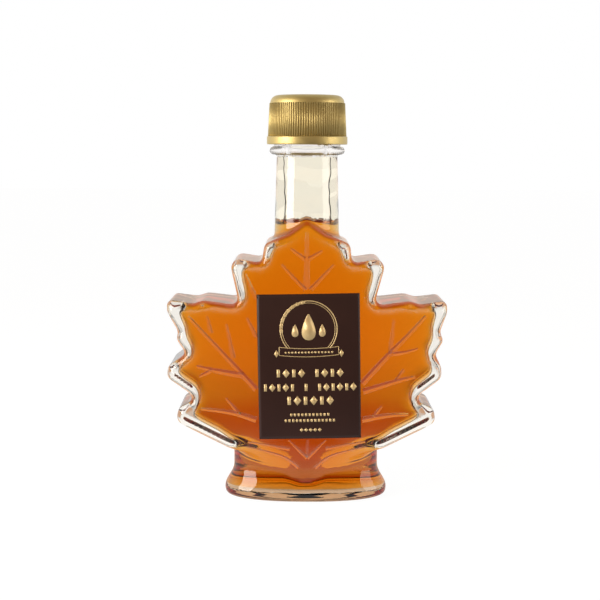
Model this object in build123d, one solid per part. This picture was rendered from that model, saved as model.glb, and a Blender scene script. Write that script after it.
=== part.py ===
from build123d import *

import os
from math import atan2, cos, pi, sin, tan

# A small glass flask in the shape of a maple leaf, filled with syrup up to the root
# of its neck and shut with a ribbed screw cap, with a paper label on its front.
# Millimetres, +Z up, front towards -Y, origin at the middle of the resting face.
# Nodes: bottle (glass), syrup, cap, label. Nothing moves: it is one body.

# Foot: an oval pedestal that narrows to a waist and flares to the resting face.
FOOT_WIDTH = 53.2
FOOT_DEPTH = 29.0
FOOT_FLARE_Z = 2.4
FOOT_EDGE_ROUNDING = 0.7
WAIST_WIDTH = 47.2
WAIST_DEPTH = 24.6
WAIST_Z = 10.6
FOOT_TOP_Z = 19.0
PUSH_UP_WIDTH = 42.0
PUSH_UP_DEPTH = 19.0
PUSH_UP_HEIGHT = 0.5

# Leaf: its faces are shallow domes, and its rim rolls over between them.
LEAF_WIDTH = 89.8
LEAF_HEIGHT = 72.0
LEAF_BASE_Z = 16.6
LEAF_DEPTH = 30.0
LEAF_DOME_RADIUS = 340.0
RIM_ROLL_WIDTH = 2.6
RIM_ROLL_DEPTH = 7.0
RIM_ROLL_STEPS = 4
TOP_LOBE_RISE = 4.0
STEM_WIDTH = 6.6
STEM_END_Z = 5.0

# Glass wall, and the tighter roll of the hollow's rim.
WALL = 2.6
BASE_THICKNESS = 3.6
HOLLOW_ROLL_WIDTH = 1.0
HOLLOW_CORNER_RADIUS = 1.2

# Neck, bead and the plain finish under the cap.
NECK_BASE_RADIUS = 10.4
NECK_TOP_RADIUS = 9.75
BORE_RADIUS = 7.3
BEAD_RADIUS = 12.1
BEAD_Z = 111.2
BEAD_HEIGHT = 2.5
FINISH_RADIUS = 10.6
SYRUP_LEVEL_Z = 89.2

# Cap: plain band, ribbed skirt that narrows upwards, rounded shoulder, flat top.
CAP_GAP = 1.0
CAP_BAND_RADIUS = 12.95
CAP_BAND_HEIGHT = 2.4
CAP_SKIRT_TOP_RADIUS = 12.2
CAP_SKIRT_HEIGHT = 10.4
CAP_SHOULDER_RADIUS = 2.5
CAP_TOP_THICKNESS = 1.5
CAP_CLEARANCE = 0.25
RIB_COUNT = 100
RIB_DEPTH = 0.3

# Label, laid on the front dome a little off centre and out of square.
LABEL_WIDTH = 32.5
LABEL_HEIGHT = 46.6
LABEL_THICKNESS = 0.12
LABEL_CENTRE = (0.9, 44.4)
LABEL_TILT = 1.1

# Corners of the leaf's right half, from the shoulder down to the lower lobe: (x, z above
# the leaf's base, rise, radius, whether the hollow follows it too). They are drawn on a
# leaf of this size. x and z stretch to LEAF_WIDTH and LEAF_HEIGHT, and the rise of a blunt
# tip's corner above or below the middle of its tip does not.
DRAWN_WIDTH = 89.8
DRAWN_HEIGHT = 72.0
LEAF_CORNERS = [
    (13.2, 66.4, 0.0, 2.5, True),
    (14.3, 60.5, 0.0, 1.8, True),
    (25.1, 61.5, 0.0, 3.3, True),
    (21.3, 47.1, 0.0, 2.0, True),
    (32.9, 48.5, 0.0, 2.0, False),
    (36.2, 47.4, 0.0, 3.0, False),
    (44.9, 47.1, 1.5, 2.8, True),
    (45.0, 47.1, -2.6, 2.8, False),
    (41.8, 38.5, 0.0, 2.5, False),
    (42.7, 35.7, 0.0, 1.6, False),
    (39.8, 31.4, 0.0, 1.6, True),
    (43.8, 25.3, 1.8, 2.2, True),
    (44.1, 25.3, -1.8, 2.4, False),
    (34.6, 16.8, 0.0, 2.0, True),
    (42.2, 9.9, 0.0, 2.2, True),
]
BASE_CORNER_RADIUS = 8.0
STEM_ROOT_WIDTH = 10.8
STEM_ROOT_DROP = 5.5
STEM_CORNER_RADIUS = 1.5

# Worked out from the sizes above.
NECK_BASE_Z = LEAF_BASE_Z + LEAF_HEIGHT
DOME_CENTRE_Z = LEAF_BASE_Z + 0.42 * LEAF_HEIGHT
CAP_BOTTOM_Z = BEAD_Z + BEAD_HEIGHT + CAP_GAP
SKIRT_BOTTOM_Z = CAP_BOTTOM_Z + CAP_BAND_HEIGHT
SKIRT_TOP_Z = SKIRT_BOTTOM_Z + CAP_SKIRT_HEIGHT
CAP_TOP_Z = SKIRT_TOP_Z + CAP_SHOULDER_RADIUS
MOUTH_Z = CAP_TOP_Z - CAP_TOP_THICKNESS


def leaf_corners(inside):
    """Closed list of (x, z, radius), clockwise from the top; inside skips nicks and stem."""
    stretch_x = LEAF_WIDTH / DRAWN_WIDTH
    stretch_z = LEAF_HEIGHT / DRAWN_HEIGHT
    right = [
        (x * stretch_x, LEAF_BASE_Z + z * stretch_z + rise, radius)
        for x, z, rise, radius, kept in LEAF_CORNERS
        if kept or not inside
    ]
    right.append((WAIST_WIDTH / 2 - 0.2, LEAF_BASE_Z, BASE_CORNER_RADIUS))
    if not inside:
        right.append((STEM_ROOT_WIDTH / 2, LEAF_BASE_Z - STEM_ROOT_DROP, STEM_CORNER_RADIUS))
        right.append((STEM_WIDTH / 2, STEM_END_Z, STEM_CORNER_RADIUS))
    left = [(-x, z, radius) for x, z, radius in reversed(right)]
    return [(0.0, NECK_BASE_Z + TOP_LOBE_RISE, STEM_CORNER_RADIUS)] + right + left


def inset_corners(corners, inset, least_radius):
    """Move every side of a clockwise outline inwards, and fit each corner's radius."""
    count = len(corners)
    headings = []
    for i in range(count):
        x0, z0, _ = corners[i]
        x1, z1, _ = corners[(i + 1) % count]
        headings.append(atan2(z1 - z0, x1 - x0))
    moved = []
    for i in range(count):
        before, after = headings[i - 1], headings[i]
        turn = (before - after + pi) % (2 * pi) - pi
        middle = before - turn / 2 - pi / 2
        reach = inset / cos(turn / 2)
        x, z, radius = corners[i]
        wanted = max(radius - inset, least_radius) if turn > 0 else radius + inset
        moved.append((x + reach * cos(middle), z + reach * sin(middle), wanted, abs(turn)))
    fitted = []
    for i in range(count):
        x, z, wanted, turn = moved[i]
        sides = [
            ((x - moved[j][0]) ** 2 + (z - moved[j][1]) ** 2) ** 0.5
            for j in (i - 1, (i + 1) % count)
        ]
        fitted.append((x, z, min(wanted, 0.48 * min(sides) / tan(turn / 2))))
    return fitted


def outline_face(corners, y):
    """Upright face at depth y inside a closed outline with rounded corners."""
    points = [(x, y, z) for x, z, _ in corners]
    edges = FilletPolyline(*points, radius=[radius for _, _, radius in corners], close=True)
    return Face(Wire(edges.edges()))


def rolled_leaf(wall):
    """Leaf body between its two domes: wall 0 gives the glass, WALL gives the hollow."""
    corners = leaf_corners(inside=wall > 0)
    roll_width = HOLLOW_ROLL_WIDTH if wall else RIM_ROLL_WIDTH
    least_radius = HOLLOW_CORNER_RADIUS if wall else 0.3
    half_depth = LEAF_DEPTH / 2 - wall
    core = half_depth - RIM_ROLL_DEPTH
    sections = []
    for step in range(RIM_ROLL_STEPS + 1):
        angle = pi / 2 * step / RIM_ROLL_STEPS
        inset = wall + roll_width * (1 - cos(angle))
        depth = core + RIM_ROLL_DEPTH * sin(angle)
        sections.append((depth, inset_corners(corners, inset, least_radius)))
    stack = [(-depth, outline) for depth, outline in reversed(sections)] + sections
    faces = [outline_face(outline, depth) for depth, outline in stack]
    body = Solid.make_loft([face.outer_wire() for face in faces], ruled=True)
    dome_radius = LEAF_DOME_RADIUS - wall
    dome_offset = LEAF_DOME_RADIUS - LEAF_DEPTH / 2
    for side in (-1, 1):
        body = body & Pos(0, side * dome_offset, DOME_CENTRE_Z) * Sphere(dome_radius)
    return body


def oval(z, width, depth):
    """Flat elliptical face at height z."""
    return Pos(0, 0, z) * Ellipse(width / 2, depth / 2)


def foot_sections():
    """Widths and depths of the foot at rising heights, from the resting face up."""
    edge = 2 * FOOT_EDGE_ROUNDING
    flare = (FOOT_WIDTH - WAIST_WIDTH, FOOT_DEPTH - WAIST_DEPTH)
    middle_z = (FOOT_FLARE_Z + WAIST_Z) / 2
    return [
        (0.0, FOOT_WIDTH - edge, FOOT_DEPTH - edge),
        (FOOT_FLARE_Z, FOOT_WIDTH, FOOT_DEPTH),
        (middle_z, WAIST_WIDTH + 0.35 * flare[0], WAIST_DEPTH + 0.35 * flare[1]),
        (WAIST_Z, WAIST_WIDTH, WAIST_DEPTH),
        (FOOT_TOP_Z, WAIST_WIDTH, WAIST_DEPTH),
    ]


def foot_block():
    """Outer shape of the foot, with the shallow push-up under it."""
    body = loft([oval(*section) for section in foot_sections()])
    push_up = extrude(oval(0, PUSH_UP_WIDTH, PUSH_UP_DEPTH), PUSH_UP_HEIGHT)
    return body - push_up


def foot_hollow():
    """Hollow of the foot, one wall inside it and above the thick base."""
    shrink = 2 * WALL
    inner = [(z, width - shrink, depth - shrink) for z, width, depth in foot_sections()]
    floor_width = inner[2][1] - shrink / 2
    floor_depth = inner[2][2] - shrink / 2
    top = (FOOT_TOP_Z + WALL, *inner[-1][1:])
    stack = [(BASE_THICKNESS, floor_width, floor_depth)] + inner[2:] + [top]
    return loft([oval(*section) for section in stack])


def neck_and_finish():
    """Tapered neck with its bead and the cylinder that the cap goes over."""
    root_z = NECK_BASE_Z - 4.0
    neck = Pos(0, 0, (root_z + BEAD_Z) / 2) * Cone(
        NECK_BASE_RADIUS, NECK_TOP_RADIUS, BEAD_Z - root_z
    )
    bead = Pos(0, 0, BEAD_Z + BEAD_HEIGHT / 2) * Cylinder(BEAD_RADIUS, BEAD_HEIGHT)
    bead = fillet(bead.edges(), 0.45 * BEAD_HEIGHT)
    finish_height = MOUTH_Z - BEAD_Z
    finish = Pos(0, 0, BEAD_Z + finish_height / 2) * Cylinder(FINISH_RADIUS, finish_height)
    return neck + bead + finish


def hollow():
    """The whole inside of the bottle: foot, leaf and bore."""
    leaf = rolled_leaf(WALL)
    leaf_top = NECK_BASE_Z - WALL
    slab = Pos(0, 0, leaf_top / 2) * Box(2 * LEAF_WIDTH, 2 * LEAF_DEPTH, leaf_top)
    leaf = leaf & slab
    bore_root = leaf_top - 4.0
    bore = Pos(0, 0, (bore_root + MOUTH_Z) / 2) * Cylinder(BORE_RADIUS, MOUTH_Z - bore_root)
    return leaf + foot_hollow() + bore


def make_bottle(inside):
    """Glass: leaf, foot, neck and finish, less the hollow."""
    return rolled_leaf(0) + foot_block() + neck_and_finish() - inside


def make_syrup(inside):
    """Syrup: the hollow up to its level."""
    above = MOUTH_Z - SYRUP_LEVEL_Z
    empty = Pos(0, 0, SYRUP_LEVEL_Z + above / 2) * Cylinder(BORE_RADIUS + 1, above)
    return inside - empty


def rib_ring(radius, z):
    """Flat face with RIB_COUNT pointed ribs that stand out to the radius."""
    points = []
    for i in range(2 * RIB_COUNT):
        angle = pi * i / RIB_COUNT
        reach = radius - (RIB_DEPTH if i % 2 else 0)
        points.append((reach * cos(angle), reach * sin(angle), z))
    return Face(Wire.make_polygon(points, close=True))


def make_cap():
    """Cap: plain band, ribbed skirt, rounded shoulder, and a bore for the finish."""
    band_z = (CAP_BOTTOM_Z + SKIRT_BOTTOM_Z) / 2
    band = Pos(0, 0, band_z) * Cylinder(CAP_BAND_RADIUS, CAP_BAND_HEIGHT)
    band = fillet(band.edges(), 0.3)
    low = rib_ring(CAP_BAND_RADIUS - 0.1, SKIRT_BOTTOM_Z - 0.5)
    high = rib_ring(CAP_SKIRT_TOP_RADIUS, SKIRT_TOP_Z)
    skirt = Solid.make_loft([low.outer_wire(), high.outer_wire()], ruled=True)
    crown_height = CAP_TOP_Z - SKIRT_BOTTOM_Z
    crown_radius = CAP_SKIRT_TOP_RADIUS - RIB_DEPTH
    crown = Pos(0, 0, SKIRT_BOTTOM_Z + crown_height / 2) * Cylinder(crown_radius, crown_height)
    crown = fillet(crown.edges().sort_by(Axis.Z)[-1], CAP_SHOULDER_RADIUS)
    bore_radius = FINISH_RADIUS + CAP_CLEARANCE
    bore_height = MOUTH_Z - CAP_BOTTOM_Z
    bore = Pos(0, 0, CAP_BOTTOM_Z + bore_height / 2) * Cylinder(bore_radius, bore_height)
    return band + skirt + crown - bore


def make_label():
    """Label: a thin sheet between the front dome and a dome one thickness larger."""
    dome = Pos(0, LEAF_DOME_RADIUS - LEAF_DEPTH / 2, DOME_CENTRE_Z)
    x, z = LABEL_CENTRE
    block = Pos(x, -LEAF_DEPTH / 2, z) * Rot(0, -LABEL_TILT, 0)
    block = block * Box(LABEL_WIDTH, LEAF_DEPTH / 2, LABEL_HEIGHT)
    outer = dome * Sphere(LEAF_DOME_RADIUS + LABEL_THICKNESS)
    inner = dome * Sphere(LEAF_DOME_RADIUS)
    return (block & outer) - inner


def main():
    os.makedirs("parts", exist_ok=True)
    inside = hollow()
    nodes = {
        "bottle": make_bottle(inside),
        "syrup": make_syrup(inside),
        "cap": make_cap(),
        "label": make_label(),
    }
    for name, shape in nodes.items():
        export_step(shape, f"parts/{name}.step")
        print(name, len(shape.solids()), round(shape.volume, 1), shape.bounding_box())


main()
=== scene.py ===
"""Looks of a leaf-shaped glass flask of syrup with a gold screw cap and a brown label.

Sizes are millimetres. A mesh is turned into metres when it is made.
"""

from math import atan2, ceil, cos, pi, radians, sin, tan

import bpy
import numpy as np
from mathutils import Euler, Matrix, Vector


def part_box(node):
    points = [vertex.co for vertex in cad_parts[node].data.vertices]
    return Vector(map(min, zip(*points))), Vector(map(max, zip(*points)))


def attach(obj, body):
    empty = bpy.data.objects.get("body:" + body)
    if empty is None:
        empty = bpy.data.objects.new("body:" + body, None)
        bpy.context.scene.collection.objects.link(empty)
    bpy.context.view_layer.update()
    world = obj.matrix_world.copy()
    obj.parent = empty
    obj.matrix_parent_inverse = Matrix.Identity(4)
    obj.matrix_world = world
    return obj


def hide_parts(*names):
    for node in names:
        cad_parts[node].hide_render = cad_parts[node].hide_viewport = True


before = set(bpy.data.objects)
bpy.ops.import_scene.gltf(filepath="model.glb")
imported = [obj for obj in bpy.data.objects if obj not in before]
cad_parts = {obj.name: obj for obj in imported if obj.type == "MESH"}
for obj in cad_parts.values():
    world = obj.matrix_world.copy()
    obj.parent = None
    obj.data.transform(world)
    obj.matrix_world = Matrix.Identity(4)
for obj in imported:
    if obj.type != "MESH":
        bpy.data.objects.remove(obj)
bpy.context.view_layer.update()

MM = 0.001


def box_mm(node):
    """Lowest and highest corners of a CAD node, in millimetres."""
    return tuple(np.array(corner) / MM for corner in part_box(node))


BOTTLE_LOW, BOTTLE_HIGH = box_mm("bottle")
SYRUP_LOW, SYRUP_HIGH = box_mm("syrup")
CAP_LOW, CAP_HIGH = box_mm("cap")

# Leaf: domed faces, and a rim that is rounder in front than at the back.
LEAF_TOP_Z = 90.6
LEAF_TOP_RADIUS = 1.5
LEAF_HALF_DEPTH = BOTTLE_HIGH[1]
DOME_RADIUS = 340.0
DOME_CENTRE_Z = 46.8
RIM_RADIUS = 2.4
BACK_RIM_RADIUS = 1.3
RIM_CHANGE_Y = (-5.0, 5.0)
# The leaf's root runs out over the foot. It starts and is full at these widths and heights,
# and it has a wider fillet to the foot and a softer rim in the hollow.
ROOT_SIDE = (26.0, 18.0)
ROOT_TOP = (25.0, 18.0)
ROOT_FILLET = 2.5
ROOT_SOFTENING = 4.0
# Outline corners of one half as (x, z, radius, lean), from the shoulder down.
# A lean moves the corner to the right on both sides, so the two halves differ a little.
LEAF_CORNERS = [
    (5.6, 86.6, 4.0, 0.0),
    (13.6, 83.2, 2.5, 0.2),
    (14.3, 77.1, 1.8, 0.0),
    (25.3, 79.0, 2.8, 0.4),
    (21.3, 63.7, 2.0, 0.0),
    (32.9, 65.1, 2.0, 0.0),
    (36.2, 64.0, 3.0, 0.0),
    (44.8, 65.2, 2.8, 0.1),
    (44.7, 61.1, 2.8, 0.2),
    (41.8, 55.1, 2.5, 0.8),
    (42.7, 52.3, 1.6, 1.2),
    (39.8, 48.0, 1.6, 1.4),
    (43.8, 43.7, 2.2, -0.5),
    (44.1, 40.1, 2.4, -0.7),
    (34.6, 33.4, 2.0, -0.3),
    (41.0, 30.2, 2.2, 0.0),
    (42.0, 25.6, 2.9, 0.0),
    (24.8, 17.2, 3.5, 0.0),
    (5.4, 11.1, 1.5, 0.0),
    (3.3, 5.0, 1.5, 0.0),
]

# Foot, as half-widths and half-depths of its oval at the flare and at the waist.
FLARE = (26.6, 14.5)
WAIST = (23.6, 12.2)
FLARE_Z = 2.4
WAIST_Z = 10.6
FLARE_SWEEP = 1.3
FOOT_TOP_Z = 19.0
FOOT_TOP_EDGE = 1.0
FOOT_EDGE = 2.0
OVAL_POWER = 2.3
# Hollow under the base: half width, half depth and rise.
PUSH_UP = (21.0, 9.5, 0.5)

# Wall and hollow. The side walls are a little thicker than the faces.
WALL = LEAF_HALF_DEPTH - SYRUP_HIGH[1]
FOOT_WALL = 1.9
SIDE_SQUEEZE = 1.005
HOLLOW_RIM_RADIUS = 3.6
HOLLOW_TOP_DROP = 2.5
HOLLOW_TOP_EDGE = 3.0
HOLLOW_WAVE = 0.12
# Extra wall of the lowest lobes, from these widths out and these heights down.
LOBE_WALL_EXTRA = 0.9
LOBE_SIDE = (23.0, 29.0)
LOBE_TOP = (33.0, 27.0)
# Hollow of the foot: deeper inside the leaf's outline, and shallower at the heel.
HOLLOW_STEM_DEPTH = 1.2
STEM_EDGE = (0.3, 5.0)
HEEL_WALL_EXTRA = 3.2
HEEL_Z = (11.5, 8.0)
HOLLOW_FOOT_RISE = 5.0
HOLLOW_FOOT_EDGE = 2.0
HOLLOW_FOOT_FILLET = 4.0
HOLLOW_BASE_EDGE = 2.2
BASE_THICKNESS = 1.4
BORE_RADIUS = 7.3
BORE_ROOT = 9.0
BORE_FILLET = 5.0
BORE_WAVE = 0.25
SYRUP_LEVEL = SYRUP_HIGH[2]
SYRUP_REACH = 0.15
MENISCUS_RISE = 1.45

# Neck, bead and finish. A root is how far a part starts inside the one below it.
NECK_BASE_Z = 88.6
NECK_ROOT = 6.0
NECK_RADII = (10.4, 9.75)
SHOULDER_FILLET = 1.6
BEAD_RADIUS = 12.1
BEAD_Z = (111.2, 113.7)
BEAD_FILLET = 0.8
FINISH_RADIUS = 10.6
FINISH_ROOT = 0.6
FINISH_FILLET = 0.4
MOUTH_Z = BOTTLE_HIGH[2]

# Side of the faces in the meshes of the flask and the syrup.
GLASS_STEP = 0.7

# Cap: plain band, ribbed skirt, and a rounded crown.
CAP_BAND_RADIUS = CAP_HIGH[0]
CAP_BAND_HEIGHT = 2.6
CAP_DROP = 0.3
CAP_EDGE_RADIUS = 0.35
CAP_VALLEY_RADII = (12.4, 11.9)
CAP_SHOULDER_RADIUS = 2.5
CAP_BORE_RADIUS = FINISH_RADIUS + 0.25
RIB_COUNT = 100
RIB_RADIUS = 0.24

# Label and its foil: lifts are heights of the layers above the glass.
LABEL_SIZE = (32.5, 46.6)
LABEL_CENTRE = (0.9, 44.4)
LABEL_TILT = radians(1.1)
LABEL_LIFTS = (-0.03, 0.075)
FOIL_LIFT = 0.08
FOIL_THICKNESS = 0.03
FOIL_LINE = 0.3
RING_RADIUS = 9.0
RING_CENTRE = (0.0, 12.1)
RIBBON_HALF = 9.4
RIBBON_HEIGHTS = (6.5, 3.9)
RIBBON_SAG = 0.55
# Rows of ornament as (height on the label, height of a shape, pitch, shapes in each group).
WORD_ROWS = [(-1.9, 2.9, 2.45, (4, 4)), (-6.5, 2.7, 2.15, (5, 1, 6)), (-10.8, 3.1, 2.6, (6,))]
# Rows of small bars as (height on the label, count), and the last row, of lozenges.
SMALL_ROWS = [(-15.4, 11), (-17.3, 14)]
LAST_ROW_HEIGHT = -20.4

# Raised veins of the front: each is a run of (x, z) points, root first.
VEIN_WIDTH = 2.0
VEIN_HEIGHT = 0.3
VEIN_SINK = 0.06
VEIN_STEP = 0.8
VEIN_TAPER = 0.5
SIDE_VEIN_SHARE = 0.72
MAIN_VEINS = [
    [(0.0, 69.0), (0.0, 78.0), (0.0, 87.0)],
    [(-15.9, 37.0), (-20.7, 42.4), (-37.6, 60.2)],
    [(-19.9, 41.5), (-30.0, 43.0), (-34.9, 44.2)],
    [(17.7, 39.0), (26.1, 48.5), (33.3, 55.4), (37.8, 60.6)],
    [(18.1, 36.5), (28.6, 39.9), (34.7, 41.1)],
    [(-15.9, 27.1), (-20.8, 28.8), (-27.3, 30.0), (-33.6, 30.4)],
    [(17.9, 27.2), (26.3, 29.1), (32.7, 28.8)],
]
SIDE_VEINS = [
    [(-23.1, 47.1), (-25.4, 57.9)],
    [(-30.2, 55.0), (-31.6, 60.4)],
    [(-15.9, 66.0), (-19.3, 73.7)],
    [(-15.8, 53.9), (-18.9, 60.0)],
    [(-0.4, 69.0), (-2.5, 70.9), (-8.0, 76.9)],
    [(-30.0, 43.0), (-34.1, 40.9)],
    [(-21.2, 28.8), (-25.6, 34.1)],
    [(26.6, 49.4), (27.6, 59.5)],
    [(26.1, 48.5), (31.7, 48.7), (35.5, 50.2)],
    [(28.6, 40.0), (31.0, 43.6)],
    [(21.4, 28.3), (24.2, 31.7)],
    [(1.2, 69.0), (8.6, 76.9)],
    [(-0.6, 78.6), (-5.1, 81.8)],
    [(0.6, 78.6), (4.9, 81.2)],
    [(0.4, 14.6), (-5.6, 20.6)],
    [(0.4, 14.6), (0.5, 20.8)],
    [(0.4, 14.6), (6.4, 20.6)],
    [(-2.2, 11.4), (-5.8, 14.6), (-12.5, 16.6), (-19.0, 18.0)],
    [(2.8, 11.4), (6.4, 14.8), (12.8, 16.8), (19.4, 18.2)],
    [(-5.2, 17.6), (-11.5, 18.6), (-18.6, 19.8)],
    [(6.2, 17.8), (12.0, 18.8), (19.0, 20.0)],
]

# Glass and syrup. The lines in the bore are given as angles from the front.
WHITE = (1.0, 1.0, 1.0)
GLASS_BENDING = 1.5
BODY_TINT = (1.0, 0.972, 0.905)
NECK_TINT = (1.0, 0.94, 0.775)
COLLAR_TINT = (1.0, 0.975, 0.95)
COLLAR_ROUGHNESS = 0.25
COLLAR_BENDING = 1.16
# The base glass's brown tint is painted: it stands in for the syrup's amber light and shade seen in the
# base rim.
BASE_PAINTED_SHADE_TINT = (0.58, 0.32, 0.15)
WETTED_SLANT = (0.24, 0.27)
BORE_LINE_ANGLE = 1.0
BORE_LINE_HALF = 0.06
BORE_LINE_SWAY = 0.09
SYRUP_BENDING = 1.46
SYRUP_COLOUR = (0.950, 0.716, 0.03)
SYRUP_DENSITY = 260.0

# Colours that the cap, the label and the foil vary between, and the cap's roughness.
CAP_COLOURS = ((0.53, 0.405, 0.145), (0.61, 0.48, 0.19))
CAP_ROUGHNESS = (0.44, 0.52)
LABEL_COLOURS = ((0.024, 0.0072, 0.0045), (0.040, 0.0135, 0.0092))
FOIL_COLOURS = ((0.62, 0.42, 0.17), (0.86, 0.66, 0.34))

# Camera: its angles are in degrees.
CAMERA_PLACE = (-2.3, -405.2, 113.6)
CAMERA_DOWN = 6.98
CAMERA_SLANT = -0.24
CAMERA_LENS = 75

# Surroundings: ramps of brightness as (from, to, brightness at from, brightness at to).
# The limits are y of the direction, from -1 in front to 1 behind. THROUGH takes y without its
# sign, and SATIN_ABOVE takes z. Up to the first y of WARM the light is warm, past the second white.
WORLD_THROUGH = (0.1, 0.6, 0.88, 1.0)
WORLD_GLOSS = (-0.35, 0.35, 0.01, 1.0)
WORLD_INNER = (-0.6, 0.3, 0.75, 1.0)
WORLD_SATIN = (-0.4, 0.35, 0.40, 1.0)
WORLD_SATIN_ABOVE = (0.1, 0.8, 1.0, 0.75)
WORLD_AMBIENT = 0.3
WORLD_WARM = (-0.5, 0.1)
WARM_COLOUR = (1.0, 0.78, 0.58)
GLOSS_COLOUR = (1.0, 0.82, 0.71)

# Floor: such ramps over its own y, in metres. Those for light through glass are added up; they paint the
# flask's shadow, darker under the foot and behind it, brightening further back.
FLOOR_COLOUR = (0.9, 0.9, 0.9)
FLOOR_HALF_SIZE = 3000.0
FLOOR_Z = -0.05
FLOOR_GLOSS = (-0.10, -0.02, 0.02, 0.9)
FLOOR_INNER = (-0.20, -0.02, 0.6, 0.9)
FLOOR_THROUGH_PAINTED_SHADOW = [
    (0.006, 0.024, 0.0, -0.42),
    (0.035, 0.07, 0.0, 0.06),
    (-0.012, 0.002, 0.4, 0.98),
    (0.14, 0.32, 0.0, 0.40),
]
FLOOR_AMBIENT = 0.5
FLOOR_SEEN = 1.08
FLOOR_GLOW_SHARE = 0.88
# Amber light that the syrup casts on the floor behind the foot: an oval with a soft edge.
GLOW_SIZE = (60.0, 92.0)
GLOW_CENTRE = 99.0
GLOW_EDGE = (0.4, 1.8)
GLOW_COLOUR = (0.96, 0.52, 0.28)

# Lamps, as (name, place, power).
LAMP_SIZE = (200, 320)
LAMP_AIM = (0, 0, 60)
LAMP_COLOUR = (1.0, 0.93, 0.86)
LAMPS = [("left_softbox", (-330, -170, 150), 1.7), ("right_softbox", (360, -110, 130), 0.6)]


def rounded_loop(corners):
    """Dense closed loop round an outline: each corner becomes a round arc."""
    arc_step = radians(9)
    places = np.array([corner[:2] for corner in corners])
    loop = []
    for i, (x, z, radius) in enumerate(corners):
        here = places[i]
        back = here - places[i - 1]
        ahead = places[(i + 1) % len(places)] - here
        back_length, ahead_length = np.hypot(*back), np.hypot(*ahead)
        back, ahead = back / back_length, ahead / ahead_length
        turn = atan2(back[0] * ahead[1] - back[1] * ahead[0], back @ ahead)
        reach = min(radius * tan(abs(turn) / 2), 0.48 * min(back_length, ahead_length))
        start, end = here - reach * back, here + reach * ahead
        steps = max(2, ceil(abs(turn) / arc_step))
        for k in range(steps + 1):
            t = k / steps
            pulls = np.array([(1 - t) ** 2, 2 * t * (1 - t) * cos(turn / 2), t ** 2])
            loop.append(pulls @ np.array([start, here, end]) / pulls.sum())
    return np.array(loop)


class PlanMap:
    """A smooth map of a value over x and z, held on a fine grid."""

    step = 0.3
    low = (-54.0, -6.0)
    size = (361, 381)

    def __init__(self, values):
        self.values = values

    @classmethod
    def inside_distance(cls, loop):
        """Distance to a closed loop, positive inside it."""
        xs = cls.low[0] + cls.step * np.arange(cls.size[0])[:, None]
        zs = cls.low[1] + cls.step * np.arange(cls.size[1])[None, :]
        nearest = np.full(cls.size, np.inf)
        inside = np.zeros(cls.size, bool)
        for (x0, z0), (x1, z1) in zip(loop, np.roll(loop, -1, axis=0)):
            dx, dz = x1 - x0, z1 - z0
            along = ((xs - x0) * dx + (zs - z0) * dz) / max(dx * dx + dz * dz, 1e-12)
            along = np.clip(along, 0, 1)
            gap = (xs - x0 - along * dx) ** 2 + (zs - z0 - along * dz) ** 2
            nearest = np.minimum(nearest, gap)
            if z0 != z1:
                spans = (z0 > zs) != (z1 > zs)
                inside ^= spans & (xs < x0 + (zs - z0) * dx / dz)
        return cls(np.where(inside, 1, -1) * np.sqrt(nearest))

    def blurred(self, width):
        """The same map, smoothed over a width in millimetres."""
        reach = int(ceil(3 * width / self.step))
        taps = np.arange(-reach, reach + 1)
        weights = np.exp(-0.5 * (taps * self.step / width) ** 2)
        weights /= weights.sum()
        values = self.values
        for axis in (0, 1):
            pad = [(reach, reach) if axis == a else (0, 0) for a in (0, 1)]
            padded = np.pad(values, pad, mode="edge")
            span = values.shape[axis]
            values = sum(
                weight * np.take(padded, np.arange(span) + shift, axis=axis)
                for shift, weight in enumerate(weights)
            )
        return PlanMap(values)

    def at(self, x, z):
        """Value at any x and z, by a smooth cubic between the grid's points."""
        u = np.clip((x - self.low[0]) / self.step, 1, self.size[0] - 3)
        v = np.clip((z - self.low[1]) / self.step, 1, self.size[1] - 3)
        i, j = u.astype(int), v.astype(int)
        weights_u, weights_v = cubic_weights(u - i), cubic_weights(v - j)
        total = 0.0
        for a in range(4):
            for b in range(4):
                total = total + weights_u[a] * weights_v[b] * self.values[i + a - 1, j + b - 1]
        return total


def cubic_weights(t):
    """Weights of four neighbouring points for a smooth curve through them."""
    return (
        0.5 * (-t + 2 * t ** 2 - t ** 3),
        0.5 * (2 - 5 * t ** 2 + 3 * t ** 3),
        0.5 * (t + 4 * t ** 2 - 3 * t ** 3),
        0.5 * (t ** 3 - t ** 2),
    )


def smooth_step(low, high, value):
    """Eased share of the way from low to high, 0 to 1."""
    t = np.clip((value - low) / (high - low), 0, 1)
    return t * t * (3 - 2 * t)


def soft_join(a, b, reach):
    """Union of two shapes' gaps with a rounded crease."""
    mix = np.clip(0.5 + 0.5 * (b - a) / reach, 0, 1)
    return b * (1 - mix) + a * mix - reach * mix * (1 - mix)


def soft_cut(a, b, reach):
    """What lies inside both shapes, with a rounded edge."""
    return -soft_join(-a, -b, reach)


def rounded_cut(a, b, radius):
    """What lies inside both shapes, with a circular fillet between them."""
    past = np.hypot(np.maximum(a + radius, 0), np.maximum(b + radius, 0))
    return np.minimum(np.maximum(a, b), -radius) + past


def oval_gap(x, y, half_width, half_depth):
    """Distance outside the foot's upright oval, a superellipse."""
    u, v = np.abs(x) / half_width, np.abs(y) / half_depth
    power = OVAL_POWER
    q = np.maximum((u ** power + v ** power) ** (1 / power), 0.05)
    slope = np.hypot(u ** (power - 1) / half_width, v ** (power - 1) / half_depth) / q ** (power - 1)
    return (q - 1) / np.maximum(slope, 0.5 / max(np.max(half_width), np.max(half_depth)))


def dome(x, z):
    """Half depth of the leaf's domed faces."""
    return LEAF_HALF_DEPTH - DOME_RADIUS + np.sqrt(
        DOME_RADIUS ** 2 - x ** 2 - (z - DOME_CENTRE_Z) ** 2
    )


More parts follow.
